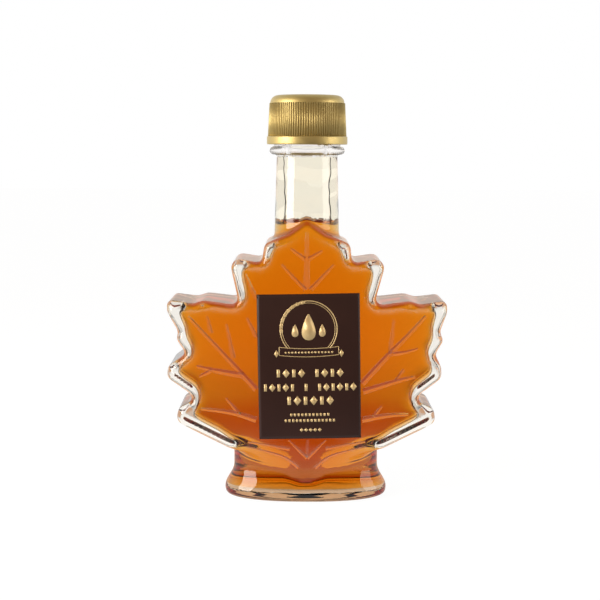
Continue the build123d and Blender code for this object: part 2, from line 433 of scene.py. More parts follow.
def ripple(x, y, z):
    """Slow unevenness of blown glass, about -1 to 1."""
    waves = [(0.31, 0.17, 0.43, 0.3), (-0.22, 0.35, 0.52, 1.9), (0.47, -0.28, 0.19, 4.1),
             (0.12, 0.21, -0.71, 2.2), (0.55, 0.11, 0.38, 5.0)]
    return sum(np.sin(a * x + b * y + c * z + d) for a, b, c, d in waves) / len(waves)


full_corners = [(0.0, LEAF_TOP_Z, LEAF_TOP_RADIUS)]
full_corners += [(x + lean, z, r) for x, z, r, lean in LEAF_CORNERS]
full_corners += [(lean - x, z, r) for x, z, r, lean in reversed(LEAF_CORNERS)]
leaf_edge = PlanMap.inside_distance(rounded_loop(full_corners))
near_edge = leaf_edge.blurred(0.5)
deep_edge = leaf_edge.blurred(1.4)


def foot_half_sizes(z):
    """Half width and half depth of the foot's oval at a height."""
    t = smooth_step(0, 1, np.clip((WAIST_Z - z) / (WAIST_Z - FLARE_Z), 0, 1) ** FLARE_SWEEP)
    return tuple(waist + (flare - waist) * t for flare, waist in zip(FLARE, WAIST))


def by_foot(x, z):
    """How far a place belongs to the leaf's root in front of the foot, 0 to 1."""
    return smooth_step(*ROOT_SIDE, np.abs(x)) * smooth_step(*ROOT_TOP, z)


def outer_gap(x, y, z):
    """Distance outside the glass's outer surface; negative inside it."""
    root = by_foot(x, z)
    rim = RIM_RADIUS + root + (BACK_RIM_RADIUS - RIM_RADIUS) * smooth_step(*RIM_CHANGE_Y, y)
    leaf = rounded_cut(-near_edge.at(x, z), np.abs(y) - dome(x, z), rim)
    foot = oval_gap(x, y, *foot_half_sizes(z))
    across = (x / PUSH_UP[0]) ** 2 + (y / PUSH_UP[1]) ** 2
    underside = PUSH_UP[2] * np.maximum(1 - across, 0) ** 2
    foot = soft_cut(foot, underside - z, FOOT_EDGE)
    foot = soft_cut(foot, z - FOOT_TOP_Z, FOOT_TOP_EDGE)
    radius = np.hypot(x, y)
    climb = (z - NECK_BASE_Z) / (BEAD_Z[0] - NECK_BASE_Z)
    neck = radius - (NECK_RADII[0] + (NECK_RADII[1] - NECK_RADII[0]) * climb)
    neck = np.maximum(neck, NECK_BASE_Z - NECK_ROOT - z)
    bead_half = (BEAD_Z[1] - BEAD_Z[0]) / 2
    bead = np.hypot(np.maximum(radius - (BEAD_RADIUS - bead_half), 0), z - sum(BEAD_Z) / 2) - bead_half
    finish = np.maximum(radius - FINISH_RADIUS, BEAD_Z[0] + FINISH_ROOT - z)
    top = soft_join(soft_join(neck, bead, BEAD_FILLET), finish, FINISH_FILLET)
    top = np.maximum(top, z - MOUTH_Z)
    return soft_join(soft_join(leaf, foot, 1.0 + ROOT_FILLET * root), top, SHOULDER_FILLET)


def hollow_gap(x, y, z):
    """Distance outside the hollow's surface; negative in the hollow."""
    to_side = WALL - deep_edge.at(x * SIDE_SQUEEZE, z)
    to_side = to_side + LOBE_WALL_EXTRA * smooth_step(*LOBE_SIDE, np.abs(x)) * smooth_step(*LOBE_TOP, z)
    rim = HOLLOW_RIM_RADIUS + ROOT_SOFTENING * by_foot(x, z)
    leaf = rounded_cut(to_side, np.abs(y) - dome(x, z) + WALL, rim)
    leaf = soft_cut(leaf, z - (NECK_BASE_Z - HOLLOW_TOP_DROP), HOLLOW_TOP_EDGE)
    half_width, half_depth = (size - FOOT_WALL for size in foot_half_sizes(z))
    half_depth = half_depth + HOLLOW_STEM_DEPTH * smooth_step(*STEM_EDGE, near_edge.at(x, z))
    half_depth = half_depth - HEEL_WALL_EXTRA * smooth_step(*HEEL_Z, z)
    foot = oval_gap(x, y, half_width, half_depth)
    foot = soft_cut(foot, z - FOOT_TOP_Z - HOLLOW_FOOT_RISE, HOLLOW_FOOT_EDGE)
    body = soft_cut(soft_join(leaf, foot, HOLLOW_FOOT_FILLET), BASE_THICKNESS - z, HOLLOW_BASE_EDGE)
    bore = np.hypot(x, y) - BORE_RADIUS - BORE_WAVE * ripple(x * 0.4, y * 0.4, z * 1.2)
    bore = np.maximum(bore, NECK_BASE_Z - BORE_ROOT - z)
    return soft_join(body, bore, BORE_FILLET) + HOLLOW_WAVE * ripple(x, y, z)


def glass_gap(x, y, z):
    """Distance outside the glass itself."""
    return np.maximum(outer_gap(x, y, z), -hollow_gap(x, y, z))


def syrup_gap(x, y, z):
    """Distance outside the syrup, which reaches just into the wall and has a meniscus."""
    to_wall = np.maximum(BORE_RADIUS - np.hypot(x, y), 0)
    level = SYRUP_LEVEL + MENISCUS_RISE * np.exp(-to_wall / 1.0)
    return soft_cut(hollow_gap(x, y, z) - SYRUP_REACH, z - level, 0.3)


def steepest(gap, points):
    """Gradient of a gap at many points."""
    reach = 0.03
    parts = []
    for axis in range(3):
        shift = np.zeros(3)
        shift[axis] = reach
        ahead, behind = points + shift, points - shift
        parts.append((gap(*ahead.T) - gap(*behind.T)) / (2 * reach))
    return np.stack(parts, axis=1)


def skin(gap, low, high, step):
    """Closed mesh of quads where a gap is zero: vertices, faces and exact normals."""
    axes = [np.arange(lo - step, hi + 2 * step, step) for lo, hi in zip(low, high)]
    values = gap(axes[0][:, None, None], axes[1][None, :, None], axes[2][None, None, :])
    inside = values < 0
    cells = tuple(np.array(values.shape) - 1)
    total = np.zeros(cells + (3,))
    count = np.zeros(cells)
    crossings = []
    for axis in range(3):
        start = [slice(None)] * 3
        end = [slice(None)] * 3
        start[axis], end[axis] = slice(None, -1), slice(1, None)
        first, second = values[tuple(start)], values[tuple(end)]
        crossed = inside[tuple(start)] != inside[tuple(end)]
        index = np.argwhere(crossed)
        share = first[crossed] / (first[crossed] - second[crossed])
        place = np.stack([axes[a][index[:, a]] for a in range(3)], axis=1)
        place[:, axis] += share * step
        crossings.append((axis, index, inside[tuple(start)][crossed]))
        others = [a for a in range(3) if a != axis]
        for back_a in (0, 1):
            for back_b in (0, 1):
                cell = index.copy()
                cell[:, others[0]] -= back_a
                cell[:, others[1]] -= back_b
                np.add.at(total, tuple(cell.T), place)
                np.add.at(count, tuple(cell.T), 1)
    used = count > 0
    number = np.cumsum(used.ravel()).reshape(cells) - 1
    points = total[used] / count[used][:, None]
    faces = []
    for axis, index, starts_inside in crossings:
        a, b = [o for o in range(3) if o != axis]
        ring = []
        for back_a, back_b in ((1, 1), (0, 1), (0, 0), (1, 0)):
            cell = index.copy()
            cell[:, a] -= back_a
            cell[:, b] -= back_b
            ring.append(number[tuple(cell.T)])
        quads = np.stack(ring, axis=1)
        flip = starts_inside if axis == 1 else ~starts_inside
        quads[flip] = quads[flip][:, ::-1]
        faces.append(quads)
    for _ in range(4):
        slope = steepest(gap, points)
        lift = gap(*points.T) / np.maximum((slope ** 2).sum(axis=1), 0.2)
        points = points - np.clip(lift, -step / 3, step / 3)[:, None] * slope
    slope = steepest(gap, points)
    normals = slope / np.linalg.norm(slope, axis=1)[:, None]
    return points, np.concatenate(faces), normals


def new_object(name, data):
    """Object of some data, in the scene, at the origin."""
    made = bpy.data.objects.new(name, data)
    bpy.context.scene.collection.objects.link(made)
    return made


def new_piece(name, points, faces, materials, normals=None):
    """Smooth shaded mesh object from millimetre points."""
    mesh = bpy.data.meshes.new(name)
    places = [tuple(point) for point in np.asarray(points) * MM]
    mesh.from_pydata(places, [], [tuple(int(corner) for corner in face) for face in faces])
    mesh.polygons.foreach_set("use_smooth", [True] * len(mesh.polygons))
    if normals is not None:
        mesh.normals_split_custom_set_from_vertices([tuple(normal) for normal in normals])
    for material in materials:
        mesh.materials.append(material)
    mesh.update()
    return new_object(name, mesh)


def keep(piece, node):
    """Ties a finished piece to the body, and hides the CAD node it stands for."""
    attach(piece, "root")
    if node:
        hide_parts(node)


class NodeMaker:
    """Adds nodes to a tree. A value is a number, a vector, a colour or another node's output."""

    def __init__(self, tree):
        self.tree = tree

    def feed(self, socket, value):
        """Gives one input its value."""
        if isinstance(value, bpy.types.NodeSocket):
            self.tree.links.new(value, socket)
        elif socket.type == "RGBA":
            socket.default_value = (*value, 1.0)
        else:
            socket.default_value = value

    def fill(self, node, inputs):
        """Gives a node's inputs their values, by name."""
        for label, value in inputs.items():
            self.feed(node.inputs[label.replace("_", " ")], value)

    def add(self, kind, settings=None, **inputs):
        """New node."""
        node = self.tree.nodes.new(kind)
        for label, value in (settings or {}).items():
            setattr(node, label, value)
        self.fill(node, inputs)
        return node

    def get(self, kind, settings=None, **inputs):
        """First output of a new node."""
        return self.add(kind, settings, **inputs).outputs[0]

    def math(self, operation, *values):
        """Math on values."""
        node = self.add("ShaderNodeMath", {"operation": operation})
        for socket, value in zip(node.inputs, values):
            self.feed(socket, value)
        return node.outputs[0]


class Look(NodeMaker):
    """Shader nodes of a material, or of the world."""

    # The mix node's sockets for each kind of value: low, high and result.
    mix_sockets = {"FLOAT": (2, 3, 0), "RGBA": (6, 7, 2)}

    def __init__(self, owner):
        owner.use_nodes = True
        super().__init__(owner.node_tree)
        self.owner = owner

    def surface(self, **inputs):
        """Sets or links inputs of the principled shader."""
        self.fill(self.tree.nodes["Principled BSDF"], inputs)

    def output(self, **inputs):
        """Links inputs of the material's output."""
        self.fill(self.tree.nodes["Material Output"], inputs)

    def place(self, kind="Object"):
        """x, y and z of the piece's own place, or of the direction to the surroundings."""
        where = self.add("ShaderNodeTexCoord").outputs[kind]
        return self.add("ShaderNodeSeparateXYZ", Vector=where).outputs

    def ramp(self, value, low, high, out_low, out_high):
        """Smooth ramp of a value between two limits."""
        node = self.add("ShaderNodeMapRange", {"interpolation_type": "SMOOTHSTEP"}, Value=value)
        for socket, number in zip(node.inputs[1:5], (low, high, out_low, out_high)):
            socket.default_value = number
        return node.outputs["Result"]

    def mix(self, share, low, high, kind="FLOAT"):
        """Number or colour that goes from low to high as share goes from 0 to 1."""
        node = self.add("ShaderNodeMix", {"data_type": kind})
        low_socket, high_socket, result = self.mix_sockets[kind]
        for k, value in ((0, share), (low_socket, low), (high_socket, high)):
            self.feed(node.inputs[k], value)
        return node.outputs[result]

    def noise(self, scale, detail=3.0, stretch=(1.0, 1.0, 1.0)):
        """Noise over the piece's own place; the scale is in waves for each millimetre."""
        place = self.add("ShaderNodeTexCoord").outputs["Object"]
        mapped = self.add("ShaderNodeMapping", Vector=place, Scale=stretch).outputs["Vector"]
        texture = self.add("ShaderNodeTexNoise", Vector=mapped, Scale=scale / MM, Detail=detail)
        return texture.outputs["Fac"]

    def bump(self, height, depth):
        """Bump on the surface, with its depth in millimetres."""
        step = self.add("ShaderNodeBump", Height=height, Distance=depth * MM)
        self.surface(Normal=step.outputs["Normal"])

    def was_mirrored(self, path):
        """1 for a ray that was mirrored on its way, 0 for one that only passed through glass."""
        bounces = self.math("SUBTRACT", path["Ray Depth"], path["Transmission Depth"])
        return self.math("MINIMUM", bounces, 1.0)

    def went_through(self, path):
        """1 for a ray that passed through glass on its way."""
        return self.math("MINIMUM", path["Transmission Depth"], 1.0)

    def light_by_ray(self, path, through, mirrored, spread, seen):
        """Brightness to rays through glass, to mirrored and to diffuse rays, and to the eye."""
        strength = self.mix(self.was_mirrored(path), through, mirrored)
        strength = self.mix(path["Is Diffuse Ray"], strength, spread)
        return self.mix(path["Is Camera Ray"], strength, seen)


def clear_look(name, tint=WHITE, roughness=0.0, bending=GLASS_BENDING):
    """Start of a clear material."""
    look = Look(bpy.data.materials.new(name))
    look.surface(Base_Color=tint, Roughness=roughness, IOR=bending, Transmission_Weight=1.0)
    return look


def clear_glass(name, tint, roughness=0.0, bending=GLASS_BENDING, wetted=False):
    """Flask glass. Where syrup wets it, only light past the critical angle is given back."""
    look = clear_look(name, tint, roughness, bending)
    if wetted:
        slant = look.add("ShaderNodeLayerWeight", Blend=0.5).outputs["Facing"]
        look.surface(Specular_Tint=look.ramp(slant, *WETTED_SLANT, 0.0, 1.0))
    else:
        look.bump(look.noise(0.12, 1.0), 0.02)
    return look.owner


def lined_glass():
    """Glass of the dry bore, with the two wavy upright lines left by its making."""
    look = clear_look("bore_glass")
    x, y, _ = look.place()
    angle = look.math("ARCTAN2", look.math("ABSOLUTE", x), look.math("MULTIPLY", y, -1.0))
    sway = look.noise(0.11, 2.0, (1.0, 0.0, 1.0))
    sway = look.ramp(sway, 0.3, 0.7, -BORE_LINE_SWAY, BORE_LINE_SWAY)
    off = look.math("SUBTRACT", look.math("ADD", angle, sway), BORE_LINE_ANGLE)
    look.bump(look.ramp(look.math("ABSOLUTE", off), 0.0, BORE_LINE_HALF, 1.0, 0.0), 0.5)
    return look.owner


def amber_syrup():
    """Clear amber liquid that deepens with its thickness."""
    look = clear_look("amber_syrup", bending=SYRUP_BENDING)
    look.surface(Specular_Tint=(0.0, 0.0, 0.0))
    absorb = look.add("ShaderNodeVolumeAbsorption", Color=SYRUP_COLOUR, Density=SYRUP_DENSITY)
    look.output(Volume=absorb.outputs["Volume"])
    return look.owner


def gold_lacquer():
    """Satin gold lacquer of the cap, with faint moulding flow and fine grain."""
    look = Look(bpy.data.materials.new("gold_lacquer"))
    flow = look.noise(0.18, 2.0, (1.0, 1.0, 0.3))
    look.surface(
        Base_Color=look.mix(flow, *CAP_COLOURS, "RGBA"),
        Roughness=look.ramp(look.noise(0.7), 0.3, 0.7, *CAP_ROUGHNESS),
        Metallic=0.9, Coat_Weight=0.35, Coat_Roughness=0.35,
    )
    look.bump(look.noise(4.0), 0.004)
    return look.owner


def label_stock():
    """Dark brown satin label stock with a faint mottle and a fine fibre grain."""
    look = Look(bpy.data.materials.new("label_stock"))
    mottle = look.noise(0.09, 3.0)
    look.surface(
        Base_Color=look.mix(mottle, *LABEL_COLOURS, "RGBA"), Roughness=0.42, Specular_IOR_Level=0.35
    )
    look.bump(look.noise(2.6), 0.01)
    return look.owner


def gold_foil():
    """Pale gold foil of the print, a little uneven in its shine."""
    look = Look(bpy.data.materials.new("gold_foil"))
    shine = look.noise(0.35)
    look.surface(Base_Color=look.mix(shine, *FOIL_COLOURS, "RGBA"), Roughness=0.4, Metallic=0.35)
    return look.owner


class GrowthTree(NodeMaker):
    """Geometry node tree with named sizes, which ends in real mesh with one material."""

    def __init__(self, name, sizes, takes_shape=False):
        super().__init__(bpy.data.node_groups.new(name, "GeometryNodeTree"))
        face = self.tree.interface
        if takes_shape:
            face.new_socket("Shape", in_out="INPUT", socket_type="NodeSocketGeometry")
        face.new_socket("Shape", in_out="OUTPUT", socket_type="NodeSocketGeometry")
        self.sizes = sizes
        self.identifiers = {}
        for label, value in sizes.items():
            kind = "NodeSocketInt" if isinstance(value, int) else "NodeSocketFloat"
            socket = face.new_socket(label, in_out="INPUT", socket_type=kind)
            self.identifiers[label] = socket.identifier
        self.inputs = self.tree.nodes.new("NodeGroupInput").outputs

    def vector(self, x, y, z):
        """Vector of three values."""
        return self.get("ShaderNodeCombineXYZ", X=x, Y=y, Z=z)

    def place(self):
        """x, y and z of the points at hand."""
        where = self.get("GeometryNodeInputPosition")
        return self.add("ShaderNodeSeparateXYZ", Vector=where).outputs

    def laid_on_face(self, shape, lift):
        """Turns a flat drawing, its height along z, upright and lays it on the domed front."""
        x, z, height = self.place()
        up = self.math("SUBTRACT", z, DOME_CENTRE_Z)
        across = self.math("ADD", self.math("MULTIPLY", x, x), self.math("POWER", up, 2.0))
        drop = self.math("SQRT", self.math("SUBTRACT", DOME_RADIUS ** 2, across))
        depth = self.math("ADD", drop, LEAF_HALF_DEPTH - DOME_RADIUS)
        depth = self.math("ADD", self.math("ADD", depth, lift), height)
        forward = self.math("MULTIPLY", depth, -1.0)
        place = self.vector(x, forward, z)
        return self.get("GeometryNodeSetPosition", Geometry=shape, Position=place)

    def finish(self, shape, material):
        """Real mesh in metres, smooth shaded, with one material, at the output."""
        real = self.get("GeometryNodeRealizeInstances", Geometry=shape)
        metres = self.get("GeometryNodeTransform", Geometry=real, Scale=(MM, MM, MM))
        smooth = self.get("GeometryNodeSetShadeSmooth", Geometry=metres)
        coloured = self.get("GeometryNodeSetMaterial", Geometry=smooth, Material=material)
        self.tree.links.new(coloured, self.tree.nodes.new("NodeGroupOutput").inputs[0])

    def grow(self, name, data=None):
        """Plain mesh object grown by the tree, from a curve or from nothing."""
        seed = new_object(name + "_seed", data or bpy.data.meshes.new(name + "_seed"))
        modifier = seed.modifiers.new("growth", "NODES")
        modifier.node_group = self.tree
        for label, value in self.sizes.items():
            modifier[self.identifiers[label]] = value
        view = bpy.context.evaluated_depsgraph_get()
        mesh = bpy.data.meshes.new_from_object(seed.evaluated_get(view), depsgraph=view)
        seed.modifiers.remove(modifier)
        bpy.data.objects.remove(seed)
        mesh.name = name
        return new_object(name, mesh)


def lathe(name, profile, material, segments=128):
    """Closed turned piece from (radius, z) points that start and end on the axis."""
    angles = 2 * pi * np.arange(segments) / segments
    rows = [[(0.0, 0.0, profile[0][1])]]
    rows += [[(r * cos(a), r * sin(a), z) for a in angles] for r, z in profile[1:-1]]
    rows.append([(0.0, 0.0, profile[-1][1])])
    starts = np.cumsum([0] + [len(row) for row in rows])
    faces = []
    for k in range(len(rows) - 1):
        for i in range(segments):
            j = (i + 1) % segments
            low = [starts[k] + n for n in ((i, j) if len(rows[k]) > 1 else (0,))]
            high = [starts[k + 1] + n for n in ((j, i) if len(rows[k + 1]) > 1 else (0,))]
            faces.append(low + high)
    return new_piece(name, [p for row in rows for p in row], faces, [material])


def arc(centre, radius, start, end, steps=6):
    """Points of an arc between two angles in degrees."""
    angles = [radians(start + (end - start) * k / steps) for k in range(steps + 1)]
    return [(centre[0] + radius * cos(a), centre[1] + radius * sin(a)) for a in angles]


def make_cap(material):
    """Cap body: bore, plain band, skirt valleys and rounded crown."""
    bottom, top = CAP_LOW[2] - CAP_DROP, CAP_HIGH[2]
    edge = CAP_EDGE_RADIUS
    band_top = bottom + CAP_BAND_HEIGHT
    shoulder_z = top - CAP_SHOULDER_RADIUS
    crown_radius = CAP_VALLEY_RADII[1]
    profile = [(0.0, MOUTH_Z), (CAP_BORE_RADIUS, MOUTH_Z), (CAP_BORE_RADIUS, bottom + 0.2)]
    profile += [(CAP_BORE_RADIUS + 0.2, bottom)]
    profile += arc((CAP_BAND_RADIUS - edge, bottom + edge), edge, -90, 0)
    profile += arc((CAP_BAND_RADIUS - edge, band_top - edge), edge, 0, 90)
    profile += [(CAP_VALLEY_RADII[0], band_top + 0.05)]
    profile += arc((crown_radius - CAP_SHOULDER_RADIUS, shoulder_z), CAP_SHOULDER_RADIUS, 0, 84, 12)
    profile += [(6.0, top), (0.0, top)]
    return lathe("screw_cap", profile, material)


def make_cap_ribs(material):
    """Upright half-round ribs round the cap's skirt."""
    low, high = CAP_LOW[2] - CAP_DROP + CAP_BAND_HEIGHT - 0.1, CAP_HIGH[2] - CAP_SHOULDER_RADIUS
    low_radius, high_radius = CAP_VALLEY_RADII
    growth = GrowthTree("cap_rib_ring", {
        "Count": RIB_COUNT,
        "Rib Radius": RIB_RADIUS,
        "Rib Length": high - low,
        "Ring Radius": (low_radius + high_radius) / 2,
        "Ring Height": (low + high) / 2,
        "Lean": atan2(low_radius - high_radius, high - low),
    })
    sizes = growth.inputs
    ring = growth.get("GeometryNodeMeshCircle", Vertices=sizes["Count"], Radius=sizes["Ring Radius"])
    rib = growth.get(
        "GeometryNodeMeshCylinder", Vertices=8, Radius=sizes["Rib Radius"], Depth=sizes["Rib Length"]
    )
    index = growth.get("GeometryNodeInputIndex")
    turn = growth.math("MULTIPLY", index, growth.math("DIVIDE", 2 * pi, sizes["Count"]))
    lean = growth.math("MULTIPLY", sizes["Lean"], -1.0)
    rotation = growth.get("FunctionNodeEulerToRotation", Euler=growth.vector(0.0, lean, turn))
    ribs = growth.get("GeometryNodeInstanceOnPoints", Points=ring, Instance=rib, Rotation=rotation)
    height = growth.vector(0.0, 0.0, sizes["Ring Height"])
    lifted = growth.get("GeometryNodeTransform", Geometry=ribs, Translation=height)
    growth.finish(lifted, material)
    return growth.grow("cap_ribs")


def drawn_lines(name, runs, sizes):
    """Curve of smooth runs in the drawing plane, each thinning towards its end."""
    curve = bpy.data.curves.new(name, "CURVE")
    curve.dimensions = "3D"
    for run, size in zip(runs, sizes):
        spline = curve.splines.new("NURBS")
        spline.points.add(len(run) - 1)
        for k, (point, (x, z)) in enumerate(zip(spline.points, run)):
            point.co = (x, z, 0.0, 1.0)
            point.radius = size * (1.0 - VEIN_TAPER * k / (len(run) - 1))
        spline.order_u = min(3, len(run))
        spline.use_endpoint_u = True
    return curve


def make_veins(material):
    """Raised veins of the front face: a low soft ridge along each run."""
    growth = GrowthTree("vein_ridges", {
        "Width": VEIN_WIDTH,
        "Height": VEIN_HEIGHT,
        "Sink": VEIN_SINK,
    }, takes_shape=True)
    sizes = growth.inputs
    lines = growth.get(
        "GeometryNodeResampleCurve", {"mode": "LENGTH"}, Curve=sizes["Shape"], Length=VEIN_STEP
    )
    upright = growth.get("GeometryNodeSetCurveNormal", {"mode": "Z_UP"}, Curve=lines)
    ring = growth.get("GeometryNodeCurvePrimitiveCircle", Resolution=20, Radius=1.0)
    side, rise, _ = growth.place()
    flank = growth.math("SUBTRACT", 1.0, growth.math("MULTIPLY", side, side))
    crest = growth.math("MULTIPLY", growth.math("MULTIPLY", flank, flank), sizes["Height"])
    above = growth.math("GREATER_THAN", rise, -0.01)
    sink = growth.math("MULTIPLY", sizes["Sink"], -1.0)
    low = growth.math("MULTIPLY", growth.math("SUBTRACT", 2.0, above), sink)
    top = growth.math("ADD", growth.math("MULTIPLY", crest, above), low)
    half = growth.math("MULTIPLY", sizes["Width"], 0.5)
    section = growth.get(
        "GeometryNodeSetPosition", Geometry=ring,
        Position=growth.vector(growth.math("MULTIPLY", side, half), top, 0.0),
    )
    size = growth.get("GeometryNodeInputRadius")
    ridges = growth.get(
        "GeometryNodeCurveToMesh", Curve=upright, Profile_Curve=section, Scale=size, Fill_Caps=True
    )
    growth.finish(growth.laid_on_face(ridges, 0.0), material)
    thicknesses = [1.0] * len(MAIN_VEINS) + [SIDE_VEIN_SHARE] * len(SIDE_VEINS)
    return growth.grow("leaf_veins", drawn_lines("leaf_veins", MAIN_VEINS + SIDE_VEINS, thicknesses))


def label_point(u, v, lift):
    """Place on the front of the label's point (u, v), measured from its centre."""
    c, s = cos(LABEL_TILT), sin(LABEL_TILT)
    x = LABEL_CENTRE[0] + u * c - v * s
    z = LABEL_CENTRE[1] + u * s + v * c
    return x, -(dome(x, z) + lift), z


def make_label(material):
    """Label: a thin closed sheet, seated in the glass by a hair, that follows the dome."""
    counts = [int(size) + 1 for size in LABEL_SIZE]
    us, vs = (np.linspace(-size / 2, size / 2, count) for size, count in zip(LABEL_SIZE, counts))
    layers = [[label_point(u, v, lift) for v in vs for u in us] for lift in LABEL_LIFTS]
    wide, tall = counts
    faces = []
    for j in range(tall - 1):
        for i in range(wide - 1):
            k = j * wide + i
            quad = (k, k + 1, k + wide + 1, k + wide)
            faces.append(tuple(wide * tall + n for n in quad))
            faces.append(quad[::-1])
    rim = list(range(wide)) + [j * wide + wide - 1 for j in range(1, tall)]
    rim += [(tall - 1) * wide + i for i in range(wide - 2, -1, -1)]
    rim += [j * wide for j in range(tall - 2, 0, -1)]
    for a, b in zip(rim, rim[1:] + rim[:1]):
        faces.append((a, b, wide * tall + b, wide * tall + a))
    return new_piece("front_label", layers[0] + layers[1], faces, [material])


def make_camera():
    """Camera in front of the flask, a little above it, turned down and a touch aslant."""
    data = bpy.data.cameras.new("camera")
    data.lens = CAMERA_LENS
    data.sensor_width = 36
    camera = new_object("camera", data)
    camera.location = Vector(CAMERA_PLACE) * MM
    camera.rotation_euler = Euler((radians(90 - CAMERA_DOWN), radians(CAMERA_SLANT), 0))
    bpy.context.scene.camera = camera


def make_world():
    """White surroundings: a little darker at the sides through glass, dark in front in gloss."""
    world = bpy.data.worlds.new("world")
    bpy.context.scene.world = world
    look = Look(world)
    _, y, z = look.place("Generated")
    path = look.add("ShaderNodeLightPath").outputs
    through = look.ramp(look.math("ABSOLUTE", y), *WORLD_THROUGH)
    gloss, inner = look.ramp(y, *WORLD_GLOSS), look.ramp(y, *WORLD_INNER)
    satin = look.math("MULTIPLY", look.ramp(y, *WORLD_SATIN), look.ramp(z, *WORLD_SATIN_ABOVE))
    entered = look.went_through(path)
    sharp = look.mix(entered, gloss, inner)
    mirrored = look.mix(path["Is Singular Ray"], satin, sharp)
    strength = look.light_by_ray(path, through, mirrored, WORLD_AMBIENT, 1.0)
    frontness = look.math("MAXIMUM", look.ramp(y, *WORLD_WARM, 0.0, 1.0), path["Is Camera Ray"])
    colour = look.mix(frontness, WARM_COLOUR, WHITE, "RGBA")
    outer_gloss = look.math("MAXIMUM", look.math("SUBTRACT", path["Is Singular Ray"], entered), 0.0)
    outer_gloss = look.math("MULTIPLY", outer_gloss, look.was_mirrored(path))
    colour = look.mix(outer_gloss, colour, GLOSS_COLOUR, "RGBA")
    look.fill(look.tree.nodes["Background"], {"Color": colour, "Strength": strength})


def make_lamp(name, place, power):
    """Soft rectangular lamp that faces the middle of the flask."""
    data = bpy.data.lights.new(name, "AREA")
    data.shape = "RECTANGLE"
    data.size, data.size_y = LAMP_SIZE[0] * MM, LAMP_SIZE[1] * MM
    data.energy = power
    data.color = LAMP_COLOUR
    lamp = new_object(name, data)
    lamp.location = Vector(place) * MM
    aim = Vector(LAMP_AIM) * MM - lamp.location
    lamp.rotation_euler = aim.to_track_quat("-Z", "Y").to_euler()
    lamp.visible_camera = False
    lamp.visible_transmission = False


def make_floor():
    """White floor that keeps a faint shadow, and is dark to sharp gloss far in front. To rays through
    the glass it has a painted shadow under and behind the foot, and a painted amber glow.
    """
    look = Look(bpy.data.materials.new("pale_floor"))
    look.surface(Base_Color=FLOOR_COLOUR, Roughness=0.6)
    x, y, _ = look.place()
    path = look.add("ShaderNodeLightPath").outputs
    gloss, inner = look.ramp(y, *FLOOR_GLOSS), look.ramp(y, *FLOOR_INNER)
    mirrored = look.mix(look.went_through(path), gloss, inner)
    # Painted shadow: to rays through the glass the floor is darker under and behind the foot.
    through = look.ramp(y, *FLOOR_THROUGH_PAINTED_SHADOW[0])
    for limits in FLOOR_THROUGH_PAINTED_SHADOW[1:]:
        through = look.math("ADD", through, look.ramp(y, *limits))
    strength = look.light_by_ray(path, through, mirrored, FLOOR_AMBIENT, FLOOR_SEEN)
    across = look.math("DIVIDE", x, GLOW_SIZE[0] * MM)
    behind = look.math("SUBTRACT", y, GLOW_CENTRE * MM)
    along = look.math("DIVIDE", behind, GLOW_SIZE[1] * MM)
    squares = [look.math("MULTIPLY", value, value) for value in (across, along)]
    outside = look.ramp(look.math("ADD", *squares), *GLOW_EDGE, 0.0, 1.0)
    outside = look.math("MAXIMUM", outside, path["Is Camera Ray"])
    glow = look.mix(outside, GLOW_COLOUR, WHITE, "RGBA")
    light = look.add("ShaderNodeEmission", Color=glow, Strength=strength)
    mixed = look.add("ShaderNodeMixShader", Fac=FLOOR_GLOW_SHARE)
    look.feed(mixed.inputs[1], look.tree.nodes["Principled BSDF"].outputs["BSDF"])
    look.feed(mixed.inputs[2], light.outputs["Emission"])
    look.output(Surface=mixed.outputs["Shader"])
    size, z = FLOOR_HALF_SIZE, FLOOR_Z
    points = [(-size, -size, z), (size, -size, z), (size, size, z), (-size, size, z)]
    new_piece("floor", points, [(0, 1, 2, 3)], [look.owner])


def make_flask():
    """Flask: outer skin and hollow in one closed mesh, each part in its own glass."""
    points, faces, normals = skin(glass_gap, BOTTLE_LOW, BOTTLE_HIGH, GLASS_STEP)
    materials = [
        clear_glass("body_glass", BODY_TINT),
        clear_glass("wetted_glass", BODY_TINT, wetted=True),
        lined_glass(),
        clear_glass("neck_glass", NECK_TINT),
        clear_glass("collar_glass", COLLAR_TINT, COLLAR_ROUGHNESS, COLLAR_BENDING),
        # Base band: brown tint painted for the syrup's amber light and shade.
        clear_glass("base_glass_painted_shade", BASE_PAINTED_SHADE_TINT),
    ]
    body, wetted, bore, neck, collar, base = range(len(materials))
    flask = new_piece("flask", points, faces, materials, normals)
    centres = points[faces].mean(axis=1)
    height = centres[:, 2]
    inner = (np.abs(hollow_gap(*centres.T)) < 0.2) & (outer_gap(*centres.T) < -0.8)
    bands = [height > BEAD_Z[0] - 0.6, height > SYRUP_LEVEL, height < FLARE_Z + 0.6]
    outer_slot = np.select(bands, [collar, neck, base], body)
    inner_slot = np.where(height < SYRUP_LEVEL, wetted, bore)
    slots = np.where(inner, inner_slot, outer_slot)
    flask.data.polygons.foreach_set("material_index", slots.astype(np.int32))
    return flask


def make_syrup():
    """Syrup up to its level, one closed mesh that reaches just into the wall."""
    points, faces, normals = skin(syrup_gap, SYRUP_LOW, SYRUP_HIGH + 1.5, GLASS_STEP)
    return new_piece("syrup_fill", points, faces, [amber_syrup()], normals)


